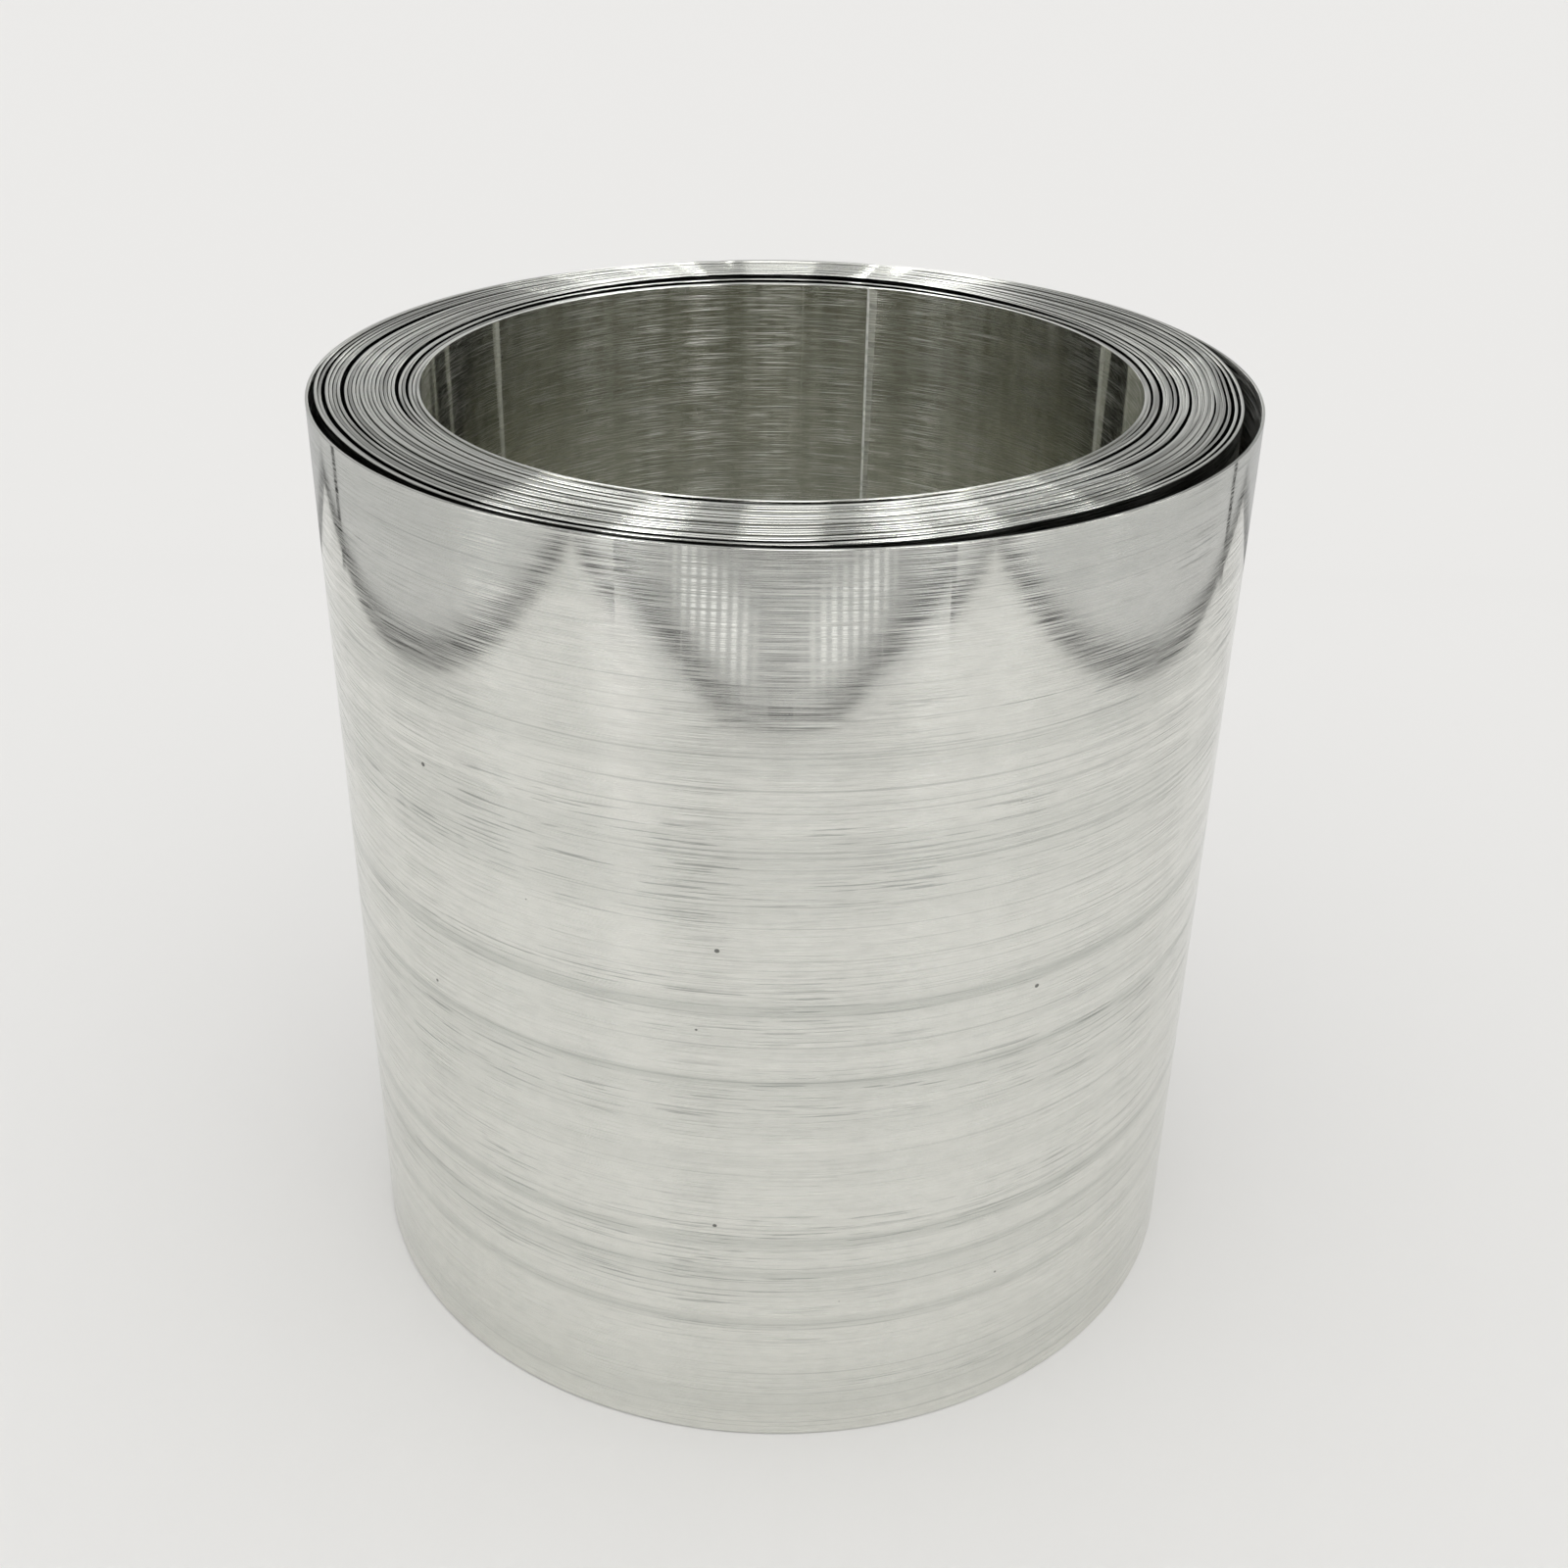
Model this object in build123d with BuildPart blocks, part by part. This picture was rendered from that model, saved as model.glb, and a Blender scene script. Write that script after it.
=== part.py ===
import os
from math import cos, radians, sin

from build123d import *

# Driving dimensions of the coil, in millimetres and degrees.
strip_width = 100.0  # the coil's height, because it stands on its end
strip_thickness = 0.30
bore_radius = 36.4
outside_radius = 47.95
outside_centre = (0.4, 0.5)  # how far the outer turns have slipped off the bore's axis

# Where the strip's two ends lie, measured round the bore's axis from +X.
inner_end_angle = 74.0
inner_lap_sweep = 70.0  # the step at the inner end fades out over this much of the bore
outer_end_angle = 100.0
outer_lap_sweep = 90.0

# Turns that lie tight together read as one band on the coil's ends. Each row is a parting
# between two bands, outermost first: the band of strip outside it, its gap where it closes,
# its gap where it opens, and the side it opens to. A parting that is the same all round is
# only a groove between two bands that touch lower down.
partings = [
    (0.40, 0.25, 1.70, -20.0),
    (0.70, 0.30, 0.30, 0.0),
    (0.70, 0.30, 0.30, 0.0),
    (1.05, 0.35, 0.35, 0.0),
    (0.80, 0.30, 0.30, 0.0),
    (0.70, 0.30, 0.30, 0.0),
    (0.80, 0.20, 1.50, 80.0),
    (0.75, 0.35, 0.35, 0.0),
    (0.70, 0.35, 0.35, 0.0),
]
settling = 0.75  # how much of its slip off the axis each band hands on to the next one in
open_parting_depth = 14.0  # it can be looked down into
groove_depth = 1.2


def around(radius, angle):
    """The point at this radius and angle from the bore's axis."""
    return (radius * cos(radians(angle)), radius * sin(radians(angle)))


def parting_circles():
    """The outer and inner circle of each parting, outermost first, each with its centre."""
    circles = []
    radius, centre = outside_radius, outside_centre
    for band, closed, opened, side in partings:
        outer = radius - band
        inner = outer - (opened + closed) / 2
        slip = around((closed - opened) / 2, side)
        inner_centre = (centre[0] + slip[0], centre[1] + slip[1])
        circles.append((outer, centre, inner, inner_centre))
        radius = inner
        centre = (inner_centre[0] * settling, inner_centre[1] * settling)
    return circles


def section_plane(centre):
    """The plane that a section is drawn on, X outwards and Y up, to be turned round centre."""
    return Plane(origin=(*centre, 0), x_dir=(1, 0, 0), z_dir=(0, -1, 0))


def turning_axis(centre):
    return Axis((*centre, 0), (0, 0, 1))


def open_parting_sketch(end, outer, outer_centre, inner, inner_centre):
    """A parting that widens to one side, drawn on an end of the coil."""
    with BuildSketch(end) as ring:
        with Locations(outer_centre):
            Circle(outer)
        with Locations(inner_centre):
            Circle(inner, mode=Mode.SUBTRACT)
    return ring.sketch


def groove_sketch(outer, inner, centre):
    """The section of the V grooves that part two touching bands, one at each end."""
    middle = (outer + inner) / 2
    with BuildSketch(section_plane(centre)) as grooves:
        for end, floor in ((strip_width, strip_width - groove_depth), (0, groove_depth)):
            with BuildLine():
                Polyline((inner, end), (outer, end), (middle, floor), close=True)
            make_face()
    return grooves.sketch


def inner_lap_sketch():
    """The step one strip thick where the inner end lies on the next turn of the bore."""
    step = around(bore_radius + strip_thickness, inner_end_angle)
    middle = around(bore_radius + strip_thickness / 2, inner_end_angle - inner_lap_sweep / 2)
    faded = around(bore_radius - strip_thickness / 4, inner_end_angle - inner_lap_sweep)
    with BuildSketch() as lap:
        with BuildLine():
            ThreePointArc(step, middle, faded)
            Polyline(faded, (0, 0), step)
        make_face()
    return lap.sketch


def outer_lap_sketch():
    """The step where the outer end lies on the turn below it, which goes on past it."""
    sides = [outer_end_angle + outer_lap_sweep * share for share in (0, 0.5, 1)]
    drops = [strip_thickness, 0.4 * strip_thickness, -0.2 * strip_thickness]
    reach = outside_radius + 5 * strip_thickness
    with BuildSketch(Plane((*outside_centre, 0))) as lap:
        with BuildLine():
            floor = [around(outside_radius - drop, side) for drop, side in zip(drops, sides)]
            clear = [around(reach, side) for side in sides]
            ThreePointArc(*floor)
            ThreePointArc(*clear)
            Line(floor[0], clear[0])
            Line(floor[2], clear[2])
        make_face()
    return lap.sketch


# The whole coil: one strip wound on itself, turned as one solid with its bore.
top_end = Plane.XY.offset(strip_width)

with BuildPart() as strip_coil:
    with BuildSketch(section_plane(outside_centre)):
        Rectangle(outside_radius, strip_width, align=(Align.MIN, Align.MIN))
    revolve(axis=turning_axis(outside_centre))
    with BuildSketch():
        Circle(bore_radius)
    extrude(amount=strip_width, mode=Mode.SUBTRACT)

    for outer, centre, inner, inner_centre in parting_circles():
        if inner_centre == centre:
            grooves = groove_sketch(outer, inner, centre)
            revolve(grooves, axis=turning_axis(centre), mode=Mode.SUBTRACT)
        else:
            for end, inwards in ((top_end, -open_parting_depth), (Plane.XY, open_parting_depth)):
                ring = open_parting_sketch(end, outer, centre, inner, inner_centre)
                extrude(ring, amount=inwards, mode=Mode.SUBTRACT)

    extrude(inner_lap_sketch(), amount=strip_width, mode=Mode.SUBTRACT)
    extrude(outer_lap_sketch(), amount=strip_width, mode=Mode.SUBTRACT)

strip_coil.part.label = "strip_coil"

os.makedirs("parts", exist_ok=True)
export_step(strip_coil.part, "parts/strip_coil.step")

size = strip_coil.part.bounding_box().size
print("coil", round(size.X, 2), round(size.Y, 2), round(size.Z, 2))
print("volume", round(strip_coil.part.volume))
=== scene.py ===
from math import atan2, cos, pi, radians, sin, sqrt

import bmesh
import bpy
from mathutils import Matrix, Vector


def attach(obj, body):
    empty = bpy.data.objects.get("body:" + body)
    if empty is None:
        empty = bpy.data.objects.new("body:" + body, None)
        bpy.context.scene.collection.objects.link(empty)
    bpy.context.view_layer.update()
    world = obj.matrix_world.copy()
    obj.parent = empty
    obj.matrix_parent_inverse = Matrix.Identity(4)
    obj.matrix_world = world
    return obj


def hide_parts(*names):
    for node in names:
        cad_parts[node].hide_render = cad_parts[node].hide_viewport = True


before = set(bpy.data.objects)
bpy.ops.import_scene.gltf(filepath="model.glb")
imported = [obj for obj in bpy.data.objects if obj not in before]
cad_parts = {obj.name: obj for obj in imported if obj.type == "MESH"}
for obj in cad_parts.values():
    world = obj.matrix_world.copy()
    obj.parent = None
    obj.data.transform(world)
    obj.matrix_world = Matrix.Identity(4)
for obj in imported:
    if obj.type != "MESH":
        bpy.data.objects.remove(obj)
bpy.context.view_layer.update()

mm = 0.001


# small helpers

def smoothStep(x):
    x = min(max(x, 0.0), 1.0)
    return x * x * (3 - 2 * x)


def toLinear(hexColour):
    # sRGB hex to the linear colour that a socket wants
    channels = [int(hexColour[i:i + 2], 16) / 255 for i in (1, 3, 5)]
    linear = [c / 12.92 if c <= 0.04045 else ((c + 0.055) / 1.055) ** 2.4 for c in channels]
    return (*linear, 1.0)


def newMaterial(name):
    material = bpy.data.materials.new(name)
    material.use_nodes = True
    material.node_tree.nodes.clear()
    return material


def addNode(tree, kind, settings=None, sockets=None):
    # sockets: by name or number, either a value or the output that feeds it
    node = tree.nodes.new(kind)
    for key, value in (settings or {}).items():
        setattr(node, key, value)
    for key, value in (sockets or {}).items():
        if isinstance(value, bpy.types.NodeSocket):
            tree.links.new(value, node.inputs[key])
        else:
            node.inputs[key].default_value = value
    shown = [output for output in node.outputs if output.enabled]
    return shown[0] if shown else node


# settings that many nodes share
eased = {"interpolation_type": "SMOOTHSTEP"}
times = {"operation": "MULTIPLY"}
plus = {"operation": "ADD"}
minus = {"operation": "SUBTRACT"}
unsigned = {"operation": "ABSOLUTE"}


def newPiece(name, bm):
    mesh = bpy.data.meshes.new(name)
    bm.to_mesh(mesh)
    bm.free()
    piece = bpy.data.objects.new(name, mesh)
    bpy.context.scene.collection.objects.link(piece)
    return piece


# the coil: one strip wound on itself

coil = {
    "width": 99.7,            # mm, the drift of the turns takes up the rest of 100
    "midHeight": 50,          # mm, of the strip's middle above the floor
    "thickness": 0.30,        # mm
    "boreRadius": 36.4,       # mm
    "outsideRadius": 47.85,   # mm
    "slip": (0.33, 0.57),     # mm, the outside's centre off the bore's axis
    "turns": 25,
    "innerEnd": 74,           # degrees round from +X, on the bore's back wall
    "outerEnd": 100,          # degrees, at the back
    "innerLap": 70,           # degrees over which the wall climbs on to the inner end
    "outerLap": 90,           # degrees over which the outside drops to the turn below
    "stepsPerTurn": 190,
    "length": 6640,           # mm, for the patterns along the strip
    "rows": 3,                # faces across the strip's width
    "edgeRound": 0.07,        # mm, the burr that slitting leaves is rubbed off
    "edgeAngle": 50,          # degrees, corners sharper than this are rounded
    "drift": 0.13,            # mm, how far a turn stands up or down
    "driftWaves": [(0.6, 147, 0), (0.4, 61, 2)],   # share of it, how drawn out, and where it starts
    "hook": (0.25, 1.7),      # mm that the inner end is bent inwards at its lower and upper corners
    "hookGrowth": 2.5,        # power: most of the bend is near the top
    "hookLean": 0.3,          # how far it goes on round the bore for each mm inwards
    "hookTrim": (0.5, 0.6),   # mm, its corners are nipped off below and above
}

# Where the turns part: turn number, first and last angle at full width, how many degrees the
# gap takes to open and to close, and its width in mm. It lies inside that turn.
partings = [
    (25, -58, -8, 32, 38, 1.70),
    (25, -165, -148, 25, 25, 0.45),
    (25, -150, -85, 25, 20, 0.42),
    (24, -80, -5, 15, 20, 0.30),
    (23, -200, -95, 20, 40, 0.30),
    (23, -35, -5, 20, 20, 0.35),
    (22, -20, 0, 12, 15, 0.22),
    (19, -204, -55, 15, 20, 0.32),
    (19, -30, -12, 12, 10, 0.18),
    (12, -38, 8, 15, 15, 0.28),
    (9, -32, 0, 15, 15, 0.25),
    (8, -12, 2, 8, 10, 0.12),
    (5, -38, 0, 12, 30, 0.35),
    (5, 80, 102, 62, 36, 2.05),
    (5, 140, 200, 30, 40, 0.28),
    (3, -26, 10, 15, 60, 0.22),
    (3, 84, 118, 40, 40, 0.85),
    (3, 140, 190, 20, 30, 0.20),
    (2, -100, -78, 20, 20, 0.25),
]


def partingAt(angle):
    # total width in mm of the partings just inside the strip, at this angle along it
    width = 0.0
    for turn, first, last, opening, closing, full in partings:
        before = angle - (360 * turn + first - opening)
        after = 360 * turn + last + closing - angle
        if before > 0 and after > 0:
            width += full * smoothStep(before / opening) * smoothStep(after / closing)
    return width


def coilOutline(direction):
    # the outermost turn's outside, measured from the bore's axis
    x, y = coil["slip"]
    across = x * sin(direction) - y * cos(direction)
    return x * cos(direction) + y * sin(direction) + sqrt(coil["outsideRadius"] ** 2 - across ** 2)


def boreClimb(direction):
    behind = (coil["innerEnd"] - direction) % 360
    return coil["thickness"] * (1 - smoothStep(behind / coil["innerLap"]))


def outsideDrop(direction):
    past = (direction - coil["outerEnd"]) % 360
    return coil["thickness"] * (1 - smoothStep(past / coil["outerLap"]))


def looseness(direction):
    # what is left for each of the tight turns' gaps, in this direction round the coil
    firstTurn = 0 if direction >= coil["innerEnd"] else 1
    lastTurn = coil["turns"] if direction <= coil["outerEnd"] else coil["turns"] - 1
    layers = lastTurn - firstTurn + 1
    inside = coil["boreRadius"] + boreClimb(direction)
    outside = coilOutline(radians(direction)) - outsideDrop(direction)
    slack = outside - inside - layers * coil["thickness"]
    slack -= sum(partingAt(direction + 360 * turn) for turn in range(firstTurn + 1, lastTurn + 1))
    gaps = coil["turns"] - 0.5   # one fewer on part of the way round, and this is between the two
    return max(slack, 0.0) / gaps


def rollUp():
    firstAngle = coil["innerEnd"]
    lastAngle = 360 * coil["turns"] + coil["outerEnd"]
    columns = round((lastAngle - firstAngle) * coil["stepsPerTurn"] / 360)
    bm = bmesh.new()
    bm.loops.layers.uv.new("strip")
    bmesh.ops.create_grid(bm, x_segments=columns, y_segments=coil["rows"], size=0.5, calc_uvs=True)

    spare = [looseness(direction) for direction in range(360)]
    radiusAt = {}

    def outsideRadiusAt(angle):
        # each turn lies on the one before it, with its gap between
        key = round(angle, 4)
        if key not in radiusAt:
            direction = angle % 360
            low = int(direction)
            share = direction - low
            gap = spare[low] * (1 - share) + spare[(low + 1) % 360] * share
            if angle < firstAngle + 360:
                climb = boreClimb(direction) if angle > firstAngle else 0.0
                radiusAt[key] = coil["boreRadius"] + climb + coil["thickness"]
            else:
                below = outsideRadiusAt(angle - 360)
                radiusAt[key] = below + coil["thickness"] + gap + partingAt(angle)
        return radiusAt[key]

    start = min(vertex.co.x for vertex in bm.verts)
    innerEnd = [edge for edge in bm.edges if all(vertex.co.x == start for vertex in edge.verts)]
    for vertex in sorted(bm.verts, key=lambda v: v.co.x):
        angle = firstAngle + (vertex.co.x - start) * (lastAngle - firstAngle)
        radius = outsideRadiusAt(angle)
        waves = sum(share * sin(angle / drawnOut + at) for share, drawnOut, at in coil["driftWaves"])
        height = coil["midHeight"] + vertex.co.y * coil["width"] + coil["drift"] * waves
        vertex.co = Vector((radius * cos(radians(angle)), radius * sin(radians(angle)), height)) * mm
    bendInnerEnd(bm, innerEnd, radians(firstAngle))
    return newPiece("strip", bm)


def bendInnerEnd(bm, innerEnd, at):
    # a mandrel's slot held the inner end and left it bent inwards, most of all at its upper corner
    along = Vector((sin(at), -cos(at), 0))
    inwards = Vector((-cos(at), -sin(at), 0))
    least, most = coil["hook"]
    trimBelow, trimAbove = coil["hookTrim"]
    flap = bmesh.ops.extrude_edge_only(bm, edges=innerEnd)["geom"]
    for face in (item for item in flap if isinstance(item, bmesh.types.BMFace)):
        face.material_index = 2   # the snipped end
    for vertex in (item for item in flap if isinstance(item, bmesh.types.BMVert)):
        share = vertex.co.z / (coil["width"] * mm)
        reach = least + (most - least) * share ** coil["hookGrowth"]
        vertex.co += (inwards + along * coil["hookLean"]) * reach * mm
        vertex.co.z = min(max(vertex.co.z, trimBelow * mm), (coil["width"] - trimAbove) * mm)
    print("inner end bent:", len(innerEnd), "edges")


def finishStrip(strip, *materials):
    for material in materials:
        strip.data.materials.append(material)
    for face in strip.data.polygons:
        face.use_smooth = True
    wall = strip.modifiers.new("thickness", "SOLIDIFY")
    wall.thickness = coil["thickness"] * mm
    wall.offset = -1                # inwards from the outside radius
    wall.material_offset_rim = 1    # the slit edges
    edge = strip.modifiers.new("edgeRound", "BEVEL")
    edge.width = coil["edgeRound"] * mm
    edge.segments = 2
    edge.limit_method = "ANGLE"
    edge.angle_limit = radians(coil["edgeAngle"])
    edge.harden_normals = True
    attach(strip, "root")
    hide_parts("strip_coil")


# Bright rolled steel: flats as bright as a mirror lie between grooves too fine to make out, so a
# reflection stays crisp, under a haze of light that is drawn out up and down the strip. Its finest
# lines are drawn coarser than the real ones, as coarse as they need to be to show.
rolledSteel = {
    "colour": "#E7E7E1",
    "bandColour": "#C6C8C2",
    "lineColour": "#777B79",     # grime held by the deeper lines
    "speckColour": "#4B4C48",
    "gapShadeColour": "#2B2C29",    # painted shade near the edges, for the gaps between the turns
    # how strongly each kind of mark tints the steel
    "tints": {"bands": 0.25, "rollMarks": 1.0, "grain": 0.15, "longScratches": 0.25,
              "scratches": 0.42, "gapShade": 0.9, "specks": 0.8},
    # marks: size along the strip and across it in mm, detail, and the levels of the pattern
    # between which they set in
    "bands": ((420, 6.0), 2.0, (0.50, 0.70)),
    "grain": ((1.8, 1.2), 3.0, (0.40, 0.70)),
    "longScratches": ((150, 0.32), 2.0, (0.66, 0.74)),
    "scratches": ((9, 0.24), 2.0, (0.62, 0.70)),
    "scratchPatches": ((75, 8), 2.0, (0.48, 0.64)),
    # relief: size along the strip and across it in mm, the noise's detail and roughness, and the
    # depth in mm
    "relief": {
        "waves": ((26, 70), 1.0, 0.5, 0.035),
        "coarseLines": ((170, 2.2), 1.0, 0.5, 0.004),
        "drawnLines": ((90, 0.75), 2.0, 0.5, 0.0016),
        "millLines": ((11, 0.26), 3.0, 0.6, 0.0009),
        "crossLines": ((0.9, 22), 1.0, 0.5, 0.0006),
    },
    "innerWear": 0.25,           # how worn the inner turns are beside the handled outermost one
    "flatRoughness": 0.045,
    "grooveRoughness": 0.38,
    "grooves": (9, 0.035),       # mm along the strip and across it
    "grooveShare": (0.59, 0.76),    # levels of the pattern between which a flat becomes a groove
    "millInGrooves": 0.25,       # what the other lines add to that pattern
    "scratchesInGrooves": 0.1,
    "gapShadeReach": (1.4, 3.0),         # mm down from each edge over which the painted shade fades
    "unshadedRim": (0.05, 0.16),   # mm down from each edge over which the painted shade gives way to the plain rim
    "gapShadeLap": (0.05, 0.02),    # of a turn, over which the painted shade sets in and ends
    "speckCell": 14.0,           # mm
    "speckLargest": 0.016,       # of its cell
    "speckSpread": 5.0,          # power: most specks are far smaller than the largest
    # marks of the rolls that run right along the strip: height and width in mm, and strength
    "rollMarks": [(54.3, 1.3, 0.5), (46.0, 1.0, 0.5), (26.3, 1.7, 0.5), (22.2, 0.9, 0.4),
                  (15.6, 1.6, 0.4)],
    "markFade": (0.2, 0.7),      # of its width, from its middle line
    "waver": (120, 400),         # mm along the strip and across it
    "waverReach": 2.0,           # mm
}


def stripPattern(tree, place, size, detail=2.0, roughness=0.5):
    # noise drawn out along the strip: size is in mm along it and across it
    spread = (coil["length"] / size[0], coil["width"] / size[1], 1)
    mapped = addNode(tree, "ShaderNodeMapping", {}, {"Vector": place, "Scale": spread})
    return addNode(tree, "ShaderNodeTexNoise", {"noise_dimensions": "2D"}, {
        "Vector": mapped, "Scale": 1.0, "Detail": detail, "Roughness": roughness})


def patternCover(tree, place, pattern):
    # what such a noise covers: nothing below its lower level, and all above its upper one
    size, detail, (low, high) = pattern
    noise = stripPattern(tree, place, size, detail)
    return addNode(tree, "ShaderNodeMapRange", eased, {0: noise, 1: low, 2: high})


def layOver(tree, colour, cover, hexColour, strength=1.0):
    # another colour over this one, as far as it covers it
    factor = addNode(tree, "ShaderNodeMath", times, {0: cover, 1: strength})
    return addNode(tree, "ShaderNodeMix", {"data_type": "RGBA"}, {
        0: factor, 6: colour, 7: toLinear(hexColour)})


def rollMarks(tree, place, up):
    # faint darker bands at set heights, which waver a little along the strip
    look = rolledSteel
    waver = stripPattern(tree, place, look["waver"], 1.0)
    waver = addNode(tree, "ShaderNodeMath", times, {0: waver, 1: look["waverReach"]})
    height = addNode(tree, "ShaderNodeMath", times, {0: up, 1: coil["width"]})
    height = addNode(tree, "ShaderNodeMath", plus, {0: height, 1: waver})
    core, reach = look["markFade"]
    total = None
    for at, wide, strength in look["rollMarks"]:
        middle = at + look["waverReach"] / 2
        off = addNode(tree, "ShaderNodeMath", minus, {0: height, 1: middle})
        off = addNode(tree, "ShaderNodeMath", unsigned, {0: off})
        mark = addNode(tree, "ShaderNodeMapRange", eased, {
            0: off, 1: core * wide, 2: reach * wide, 3: strength, 4: 0.0})
        total = mark if total is None else addNode(tree, "ShaderNodeMath", plus, {0: total, 1: mark})
    return total


def specks(tree, place):
    # a few dark specks, each somewhere in a cell of its own and most of them too small to see
    look = rolledSteel
    spread = (coil["length"] / look["speckCell"], coil["width"] / look["speckCell"], 1)
    mapped = addNode(tree, "ShaderNodeMapping", {}, {"Vector": place, "Scale": spread})
    cells = addNode(tree, "ShaderNodeTexVoronoi", {"voronoi_dimensions": "2D"}, {
        "Vector": mapped, "Scale": 1.0}).node.outputs
    sizes = addNode(tree, "ShaderNodeSeparateColor", {}, {0: cells["Color"]})
    sizes = addNode(tree, "ShaderNodeMath", {"operation": "POWER"}, {0: sizes, 1: look["speckSpread"]})
    sizes = addNode(tree, "ShaderNodeMath", times, {0: sizes, 1: look["speckLargest"]})
    return addNode(tree, "ShaderNodeMath", {"operation": "LESS_THAN"}, {0: cells["Distance"], 1: sizes})


def gapShade(tree, along, up):
    # painted shade: the turns that lie against others are darkened near their edges, for the shade in the
    # gaps between them, and not on the very rim
    look = rolledSteel
    turn = 1 / coil["turns"]
    setsIn, ends = (lap * turn for lap in look["gapShadeLap"])
    down = addNode(tree, "ShaderNodeMath", minus, {0: 1.0, 1: up})
    down = addNode(tree, "ShaderNodeMath", {"operation": "MINIMUM"}, {0: up, 1: down})
    down = addNode(tree, "ShaderNodeMath", times, {0: down, 1: coil["width"]})
    shaded = None
    for value, (low, high), (bottom, top) in (
            (down, look["gapShadeReach"], (1.0, 0.0)), (down, look["unshadedRim"], (0.0, 1.0)),
            (along, (turn, turn + setsIn), (0.0, 1.0)),
            (along, (1 - turn - ends, 1 - turn), (1.0, 0.0))):
        share = addNode(tree, "ShaderNodeMapRange", eased, {0: value, 1: low, 2: high, 3: bottom, 4: top})
        if shaded is not None:
            share = addNode(tree, "ShaderNodeMath", times, {0: shaded, 1: share})
        shaded = share
    return shaded


def makeRolledSteel():
    look = rolledSteel
    material = newMaterial("brightRolledSteel")
    tree = material.node_tree
    place = addNode(tree, "ShaderNodeTexCoord").node.outputs["UV"]
    axes = addNode(tree, "ShaderNodeSeparateXYZ", {}, {0: place}).node.outputs
    along, up = axes["X"], axes["Y"]

    # wear: full on the outermost turn, and coming in over the one before it
    turn = 1 / coil["turns"]
    worn = addNode(tree, "ShaderNodeMapRange", eased, {
        0: along, 1: 1 - 2 * turn, 2: 1 - turn, 3: look["innerWear"], 4: 1.0})

    patches = patternCover(tree, place, look["scratchPatches"])
    patches = addNode(tree, "ShaderNodeMath", times, {0: patches, 1: worn})
    scratches = patternCover(tree, place, look["scratches"])
    scratches = addNode(tree, "ShaderNodeMath", times, {0: scratches, 1: patches})

    colour = toLinear(look["colour"])
    for mark, cover, hexColour in (
            ("bands", patternCover(tree, place, look["bands"]), look["bandColour"]),
            ("rollMarks", rollMarks(tree, place, up), look["bandColour"]),
            ("grain", patternCover(tree, place, look["grain"]), look["bandColour"]),
            ("longScratches", patternCover(tree, place, look["longScratches"]), look["lineColour"]),
            ("scratches", scratches, look["lineColour"]),
            # painted shade in the gaps between the turns
            ("gapShade", gapShade(tree, along, up), look["gapShadeColour"]),
            ("specks", specks(tree, place), look["speckColour"])):
        colour = layOver(tree, colour, cover, hexColour, look["tints"][mark])

    heights = {}
    normal = None
    for name, (size, detail, grain, depth) in look["relief"].items():
        heights[name] = stripPattern(tree, place, size, detail, grain)
        sockets = {"Strength": worn, "Distance": depth * mm, "Height": heights[name]}
        if normal is not None:
            sockets["Normal"] = normal
        normal = addNode(tree, "ShaderNodeBump", {}, sockets)

    mill = addNode(tree, "ShaderNodeMath", times, {0: heights["millLines"], 1: look["millInGrooves"]})
    mill = addNode(tree, "ShaderNodeMath", times, {0: mill, 1: worn})
    rubbed = addNode(tree, "ShaderNodeMath", times, {0: scratches, 1: look["scratchesInGrooves"]})
    grooves = stripPattern(tree, place, look["grooves"])
    grooves = addNode(tree, "ShaderNodeMath", plus, {0: grooves, 1: mill})
    grooves = addNode(tree, "ShaderNodeMath", plus, {0: grooves, 1: rubbed})
    low, high = look["grooveShare"]
    roughness = addNode(tree, "ShaderNodeMapRange", eased, {
        0: grooves, 1: low, 2: high, 3: look["flatRoughness"], 4: look["grooveRoughness"]})

    tangent = addNode(tree, "ShaderNodeTangent", {"direction_type": "RADIAL", "axis": "Z"})
    shader = addNode(tree, "ShaderNodeBsdfPrincipled", {}, {
        "Base Color": colour, "Metallic": 1.0, "Roughness": roughness, "Normal": normal,
        "Anisotropic": 1.0, "Anisotropic Rotation": 0.25, "Tangent": tangent})
    addNode(tree, "ShaderNodeOutputMaterial", {}, {"Surface": shader})
    return material


# The slit edge: sheared, so it's duller and a little rough, with bright nicks where the knife
# has burnished it.
shearedEdge = {
    "colour": "#D4D5CF",
    "dullColour": "#9C9D98",
    "dull": ((30, 1), 2.0, (0.42, 0.62)),   # mm along and across, detail, levels
    "roughness": 0.30,
    "nicks": (2.5, 0.3),         # mm along the strip and across it
    "nickDetail": 3.0,
    "nickDepth": 0.02,           # mm
}


def makeShearedEdge():
    look = shearedEdge
    material = newMaterial("shearedSteelEdge")
    tree = material.node_tree
    place = addNode(tree, "ShaderNodeTexCoord").node.outputs["UV"]
    nicks = stripPattern(tree, place, look["nicks"], look["nickDetail"])
    normal = addNode(tree, "ShaderNodeBump", {}, {
        "Strength": 1.0, "Distance": look["nickDepth"] * mm, "Height": nicks})
    dull = patternCover(tree, place, look["dull"])
    shader = addNode(tree, "ShaderNodeBsdfPrincipled", {}, {
        "Base Color": layOver(tree, toLinear(look["colour"]), dull, look["dullColour"]),
        "Metallic": 1.0, "Roughness": look["roughness"], "Normal": normal})
    addNode(tree, "ShaderNodeOutputMaterial", {}, {"Surface": shader})
    return material


# The inner end: snipped by hand, so its burr scatters light.
snippedEnd = {
    "colour": "#CBCBC6",
    "dullColour": "#B4B5B0",
    "dullLevels": (0.45, 0.65),  # of the burr pattern
    "roughness": 0.72,
    "burrs": (1.5, 0.9),         # mm along the strip and across it
    "burrDetail": 3.0,
    "burrDepth": 0.05,           # mm
}


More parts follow.
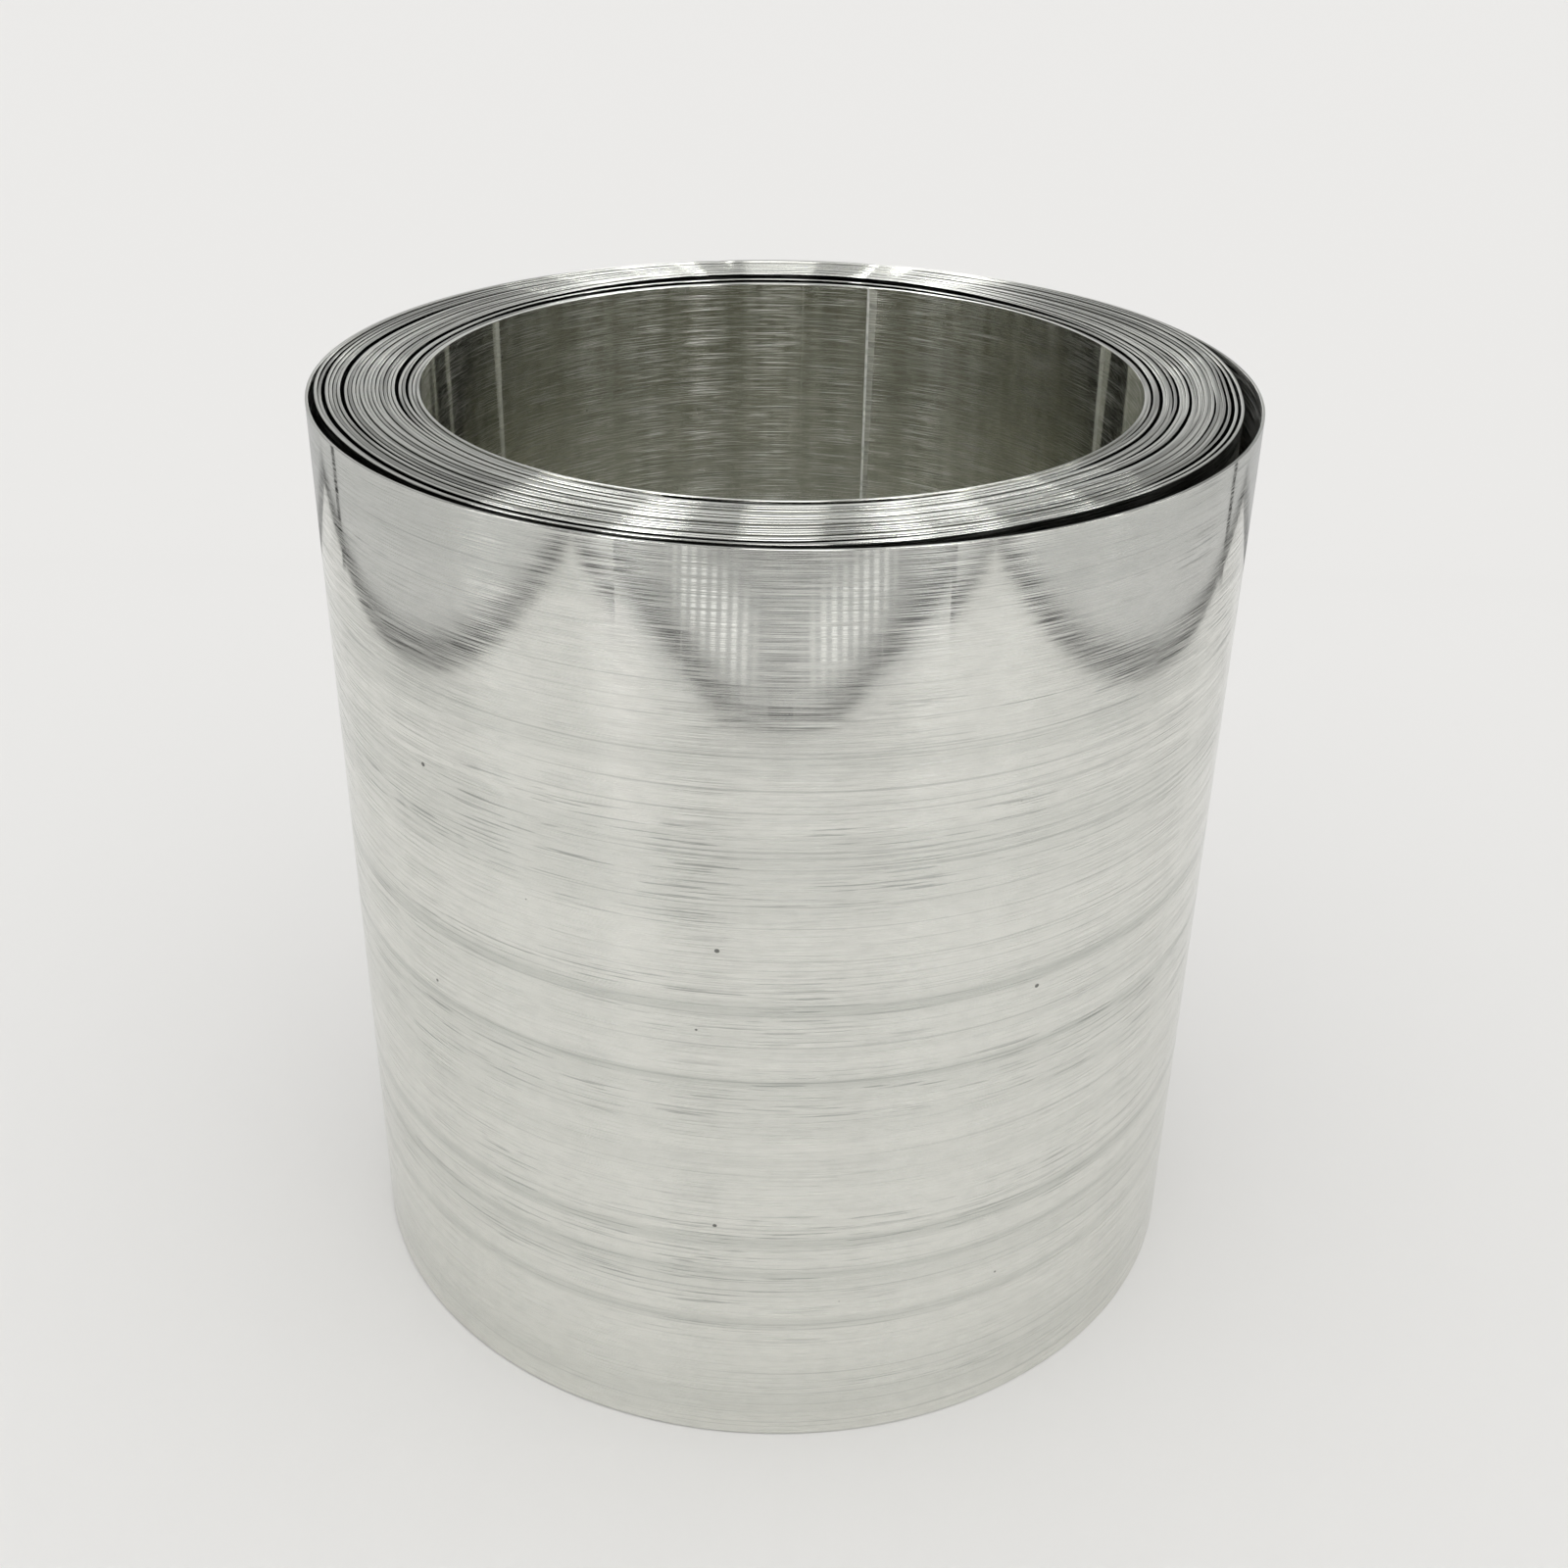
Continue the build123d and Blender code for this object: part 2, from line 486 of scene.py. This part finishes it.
def makeSnippedEnd():
    look = snippedEnd
    material = newMaterial("snippedSteelEnd")
    tree = material.node_tree
    place = addNode(tree, "ShaderNodeTexCoord").node.outputs["UV"]
    burrs = stripPattern(tree, place, look["burrs"], look["burrDetail"])
    normal = addNode(tree, "ShaderNodeBump", {}, {
        "Strength": 1.0, "Distance": look["burrDepth"] * mm, "Height": burrs})
    low, high = look["dullLevels"]
    dull = addNode(tree, "ShaderNodeMapRange", eased, {0: burrs, 1: low, 2: high})
    shader = addNode(tree, "ShaderNodeBsdfPrincipled", {}, {
        "Base Color": layOver(tree, toLinear(look["colour"]), dull, look["dullColour"]),
        "Metallic": 1.0, "Roughness": look["roughness"], "Normal": normal})
    addNode(tree, "ShaderNodeOutputMaterial", {}, {"Surface": shader})
    return material


strip = rollUp()
finishStrip(strip, makeRolledSteel(), makeShearedEdge(), makeSnippedEnd())
print("strip wound:", len(strip.data.polygons), "faces before its thickness")


# the stage: a pale floor, and the pale walls of a light tent that only the metal sees

stage = {
    "floorSize": 6.0,         # m, as are the other sizes and places here
    "floorColour": "#EBEAE8",
    "floorRoughness": 0.9,
    "floorShine": 0.2,
    "tentHalfWidth": 0.207,
    "tentFront": -0.207,
    "tentBack": 0.19,
    "tentHeight": 0.40,
    "layer": 0.001,           # between cards that hang one before the other
    "wallGlow": 0.62,
    "wallSeamGlow": 0.02,     # at its foot, painted shade where it meets the floor
    "wallDim": (0.11, 0.35),  # height from which a wall is dimmer, and what is left of its glow
    "backGlow": 0.56,
    "backSeamGlow": 0.25,
    "backDim": (0.2, 0.5),
    "roofGlow": 0.47,
    "frontSide": (0.176, 0.062),    # how far out the front's side panels are, and their width
    "openingWidth": 0.29,
    "openingGlow": 0.14,
    "paperHeight": 0.02,      # the floor's paper, where it comes up to the opening
    "paperGlow": 0.72,
    "lipHeight": 0.033,
    "lipLine": [(0.0, -0.001), (0.045, 0.0), (0.078, 0.006), (0.150, 0.010)],   # out, and up
    "lipGlow": 0.40,
    "lipSeamGlow": 0.02,
    "lipSeamReach": 0.010,
    "lipOverlap": 0.0001,     # the left half of the lip hangs this much before the right one
    "lipLamp": (0.052, 0.022),      # out from the middle, and up
    "lipLampTilt": 0.15,      # radians
    "lipLampSize": (0.090, 0.024),
    "lipLampGlow": 0.40,
    "lipLampRow": (0.008, 0.50),    # pitch and brightness of its lamps
    "backLamp": (0.031, 0.16),      # out from the middle, and up
    "backLampSize": (0.022, 0.07),
    "backLampGlow": 4.0,
    "shadeStrip": (0.004, 0.121),   # in from the wall, and back: a black card of painted shade in each corner
    "shadeStripWidth": 0.008,
    "shadeStripTurn": 0.9,          # radians
    "frontLampY": -0.12,
    "frontLampSize": (0.30, 0.10),
    "frontLampGlow": 3.0,
    # bright parts of the tent that draw streaks up and down the bore: bearing from the front and
    # width in degrees, and glow
    "streakLamps": [(91, 3, 7.0), (74, 3, 11.0), (52, 6, 9.0), (33, 8, 10.0), (2, 24, 4.0),
                    (-34, 7, 14.0), (-66, 10, 7.5)],
    "streakReach": 0.19,
    "streakHeight": 0.28,
    "streakLength": 0.24,
}

# how a card's glow changes over it
card = {
    "seamReach": 0.012,       # m above its foot that the painted shade at its seam reaches
    "seamCore": 0.3,          # of that reach, the darkest part
    "dimReach": 1.6,          # it's as dim as it gets at this many times the height where that starts
    "rowLevels": (-0.8, 0.8),       # of a sine along the row of lamps, dark to bright
    "rowGlow": (0.5, 1.5),    # times the row's brightness, between its lamps and at them
    "rowMiddle": 0.35,        # of its half size, from where the row fades towards its ends
}


def makeFloor():
    bm = bmesh.new()
    bmesh.ops.create_grid(bm, x_segments=1, y_segments=1, size=stage["floorSize"] / 2)
    floor = newPiece("floor", bm)
    material = newMaterial("paperFloor")
    tree = material.node_tree
    shader = addNode(tree, "ShaderNodeBsdfPrincipled", {}, {
        "Base Color": toLinear(stage["floorColour"]), "Roughness": stage["floorRoughness"],
        "Specular IOR Level": stage["floorShine"]})
    addNode(tree, "ShaderNodeOutputMaterial", {}, {"Surface": shader})
    floor.data.materials.append(material)


def lampRow(tree, axes, size, row):
    # a row of small lamps behind the card, brightest at its middle
    pitch, brightest = row
    dots = addNode(tree, "ShaderNodeMath", times, {0: axes["X"], 1: 2 * pi / pitch})
    dots = addNode(tree, "ShaderNodeMath", {"operation": "SINE"}, {0: dots})
    (low, high), (dark, bright) = card["rowLevels"], card["rowGlow"]
    dots = addNode(tree, "ShaderNodeMapRange", eased, {
        0: dots, 1: low, 2: high, 3: dark * brightest, 4: bright * brightest})
    for axis, half in (("X", size[0] / 2), ("Y", size[1] / 2)):
        off = addNode(tree, "ShaderNodeMath", unsigned, {0: axes[axis]})
        share = addNode(tree, "ShaderNodeMapRange", eased, {
            0: off, 1: card["rowMiddle"] * half, 2: half, 3: 1.0, 4: 0.0})
        dots = addNode(tree, "ShaderNodeMath", times, {0: dots, 1: share})
    return dots


def cardMaterial(name, size, glow, seamGlow, seamReach, dim, row):
    # a card that shines as a lit wall does: with painted shade, darker down at its seam where it meets
    # the floor, or with a row of lamps behind it
    material = newMaterial(name)
    tree = material.node_tree
    place = addNode(tree, "ShaderNodeTexCoord").node.outputs["Object"]
    axes = addNode(tree, "ShaderNodeSeparateXYZ", {}, {0: place}).node.outputs
    foot = -size[1] / 2
    # painted shade: the glow falls to the seam's glow down at the card's foot
    strength = addNode(tree, "ShaderNodeMapRange", eased, {
        0: axes["Y"], 1: foot + card["seamCore"] * seamReach, 2: foot + seamReach,
        3: seamGlow, 4: glow})
    if dim:
        height, left = dim
        upper = addNode(tree, "ShaderNodeMapRange", eased, {
            0: axes["Y"], 1: foot + height, 2: foot + card["dimReach"] * height, 3: 1.0, 4: left})
        strength = addNode(tree, "ShaderNodeMath", times, {0: strength, 1: upper})
    if row:
        dots = lampRow(tree, axes, size, row)
        strength = addNode(tree, "ShaderNodeMath", plus, {0: strength, 1: dots})
    shine = addNode(tree, "ShaderNodeEmission", {}, {"Strength": strength})
    addNode(tree, "ShaderNodeOutputMaterial", {}, {"Surface": shine})
    return material


def addCard(name, centre, turn, size, glow, seamGlow=None, seamReach=card["seamReach"], dim=None,
            row=None):
    bm = bmesh.new()
    bmesh.ops.create_grid(bm, x_segments=1, y_segments=1, size=0.5)
    bmesh.ops.scale(bm, vec=(size[0], size[1], 1), verts=bm.verts)
    sheet = newPiece(name, bm)
    sheet.location = centre
    sheet.rotation_euler = turn
    seamGlow = glow if seamGlow is None else seamGlow
    sheet.data.materials.append(cardMaterial(name, size, glow, seamGlow, seamReach, dim, row))
    sheet.visible_camera = False
    sheet.visible_diffuse = False
    sheet.visible_shadow = False
    sheet.visible_transmission = False


def addLip(name, side, start, end):
    # one length of the tent's front lip, which stands on the paper's rising edge
    high = stage["lipHeight"]
    run = end - start
    slope = atan2(run.y, run.x)
    middle = (start + end) / 2 + Vector((-sin(slope), cos(slope))) * high / 2
    place = (side * middle.x, stage["tentFront"] + side * stage["lipOverlap"], middle.y)
    addCard(name, place, (pi / 2, -side * slope, 0), (run.length, high),
            stage["lipGlow"], stage["lipSeamGlow"], stage["lipSeamReach"])


def addFront(side, number, upright):
    # one half of the tent's front: the lip with its lamps, and the panel beside the opening
    front, high = stage["tentFront"], stage["tentHeight"]
    for part, (start, end) in enumerate(zip(stage["lipLine"], stage["lipLine"][1:])):
        addLip("tentFrontLip%d%d" % (number, part), side, Vector(start), Vector(end))
    out, up = stage["lipLamp"]
    addCard("lipLamp%d" % number, (side * out, front + stage["layer"], up),
            (pi / 2, -side * stage["lipLampTilt"], 0), stage["lipLampSize"], stage["lipLampGlow"],
            row=stage["lipLampRow"])
    out, wide = stage["frontSide"]
    addCard("tentFront%d" % number, (side * out, front, high / 2), upright, (wide, high),
            stage["wallGlow"], stage["wallSeamGlow"])


def addBack(side, number, upright):
    # one half of the tent's back: its lamp, and a black strip of painted shade in its corner
    high = stage["tentHeight"]
    out, up = stage["backLamp"]
    addCard("backLamp%d" % number, (side * out, stage["tentBack"] - stage["layer"], up), upright,
            stage["backLampSize"], stage["backLampGlow"])
    # painted shade: a black card stands for the shade in the tent's corner
    inset, back = stage["shadeStrip"]
    addCard("cornerShadeStrip%d" % number, (side * (stage["tentHalfWidth"] - inset), back, high / 2),
            (pi / 2, 0, -side * stage["shadeStripTurn"]), (stage["shadeStripWidth"], high), 0.0)


def pitchTent():
    half, high = stage["tentHalfWidth"], stage["tentHeight"]
    front, back = stage["tentFront"], stage["tentBack"]
    deep = back - front
    middle = (back + front) / 2
    level = (0, 0, 0)
    upright = (pi / 2, 0, 0)
    sideways = (pi / 2, 0, pi / 2)

    for name, side in (("tentLeft", -1), ("tentRight", 1)):
        addCard(name, (side * half, middle, high / 2), sideways, (deep, high),
                stage["wallGlow"], stage["wallSeamGlow"], dim=stage["wallDim"])
    addCard("tentBack", (0, back, high / 2), upright, (2 * half, high),
            stage["backGlow"], stage["backSeamGlow"], dim=stage["backDim"])
    addCard("tentRoof", (0, middle, high), level, (2 * half, deep), stage["roofGlow"])

    lip, wide, paper = stage["lipHeight"], stage["openingWidth"], stage["paperHeight"]
    addCard("tentOpening", (0, front - 2 * stage["layer"], (high + lip) / 2), upright,
            (wide, high - lip), stage["openingGlow"])
    addCard("paperEdge", (0, front - stage["layer"], paper / 2), upright, (wide, paper),
            stage["paperGlow"])
    for side in (-1, 1):
        addFront(side, side + 1, upright)
        addBack(side, side + 1, upright)

    reach, length = stage["streakReach"], stage["streakLength"]
    for bearing, degreesWide, glow in stage["streakLamps"]:
        turned = radians(bearing)
        place = (sin(turned) * reach, -cos(turned) * reach, stage["streakHeight"])
        addCard("streakLamp%d" % bearing, place, (pi / 2, 0, turned),
                (radians(degreesWide) * reach, length), glow)
    addCard("frontLamp", (0, stage["frontLampY"], high - 2 * stage["layer"]), level,
            stage["frontLampSize"], stage["frontLampGlow"])


light = {
    "glossyBounces": 8,       # light leaves the bore and the open gaps only after several mirrorings
    "worldStrength": 1.0,
}


def lightScene():
    bpy.context.scene.cycles.glossy_bounces = light["glossyBounces"]
    world = bpy.data.worlds.new("softStudio")
    bpy.context.scene.world = world
    world.use_nodes = True
    background = world.node_tree.nodes["Background"]
    background.inputs["Color"].default_value = (1.0, 1.0, 1.0, 1.0)
    background.inputs["Strength"].default_value = light["worldStrength"]


# the camera: where the photograph was taken from, fitted to the coil's outline

view = {
    "distance": 0.1873,       # m in front of the bore's axis
    "height": 0.1561,         # m above the floor
    "pitch": 29.01,           # degrees down
    "yaw": 0.27,              # degrees to the right
    "roll": 1.0,              # degrees
    "focalPixels": 1917,      # in an image of 1600 pixels
    "imagePixels": 1600,
    "sensor": 36.0,           # mm
    "nearest": 0.01,          # m
}


def addCamera():
    data = bpy.data.cameras.new("camera")
    data.sensor_width = view["sensor"]
    data.lens = view["sensor"] * view["focalPixels"] / view["imagePixels"]
    data.clip_start = view["nearest"]
    camera = bpy.data.objects.new("camera", data)
    bpy.context.scene.collection.objects.link(camera)
    yaw = Matrix.Rotation(-radians(view["yaw"]), 4, "Z")
    pitch = Matrix.Rotation(pi / 2 - radians(view["pitch"]), 4, "X")
    roll = Matrix.Rotation(radians(view["roll"]), 4, "Z")
    place = Matrix.Translation((0, -view["distance"], view["height"]))
    camera.matrix_world = place @ yaw @ pitch @ roll
    bpy.context.scene.camera = camera


makeFloor()
pitchTent()
lightScene()
addCamera()
bpy.context.scene.view_settings.view_transform = "Standard"
print("stage, light and camera are set")
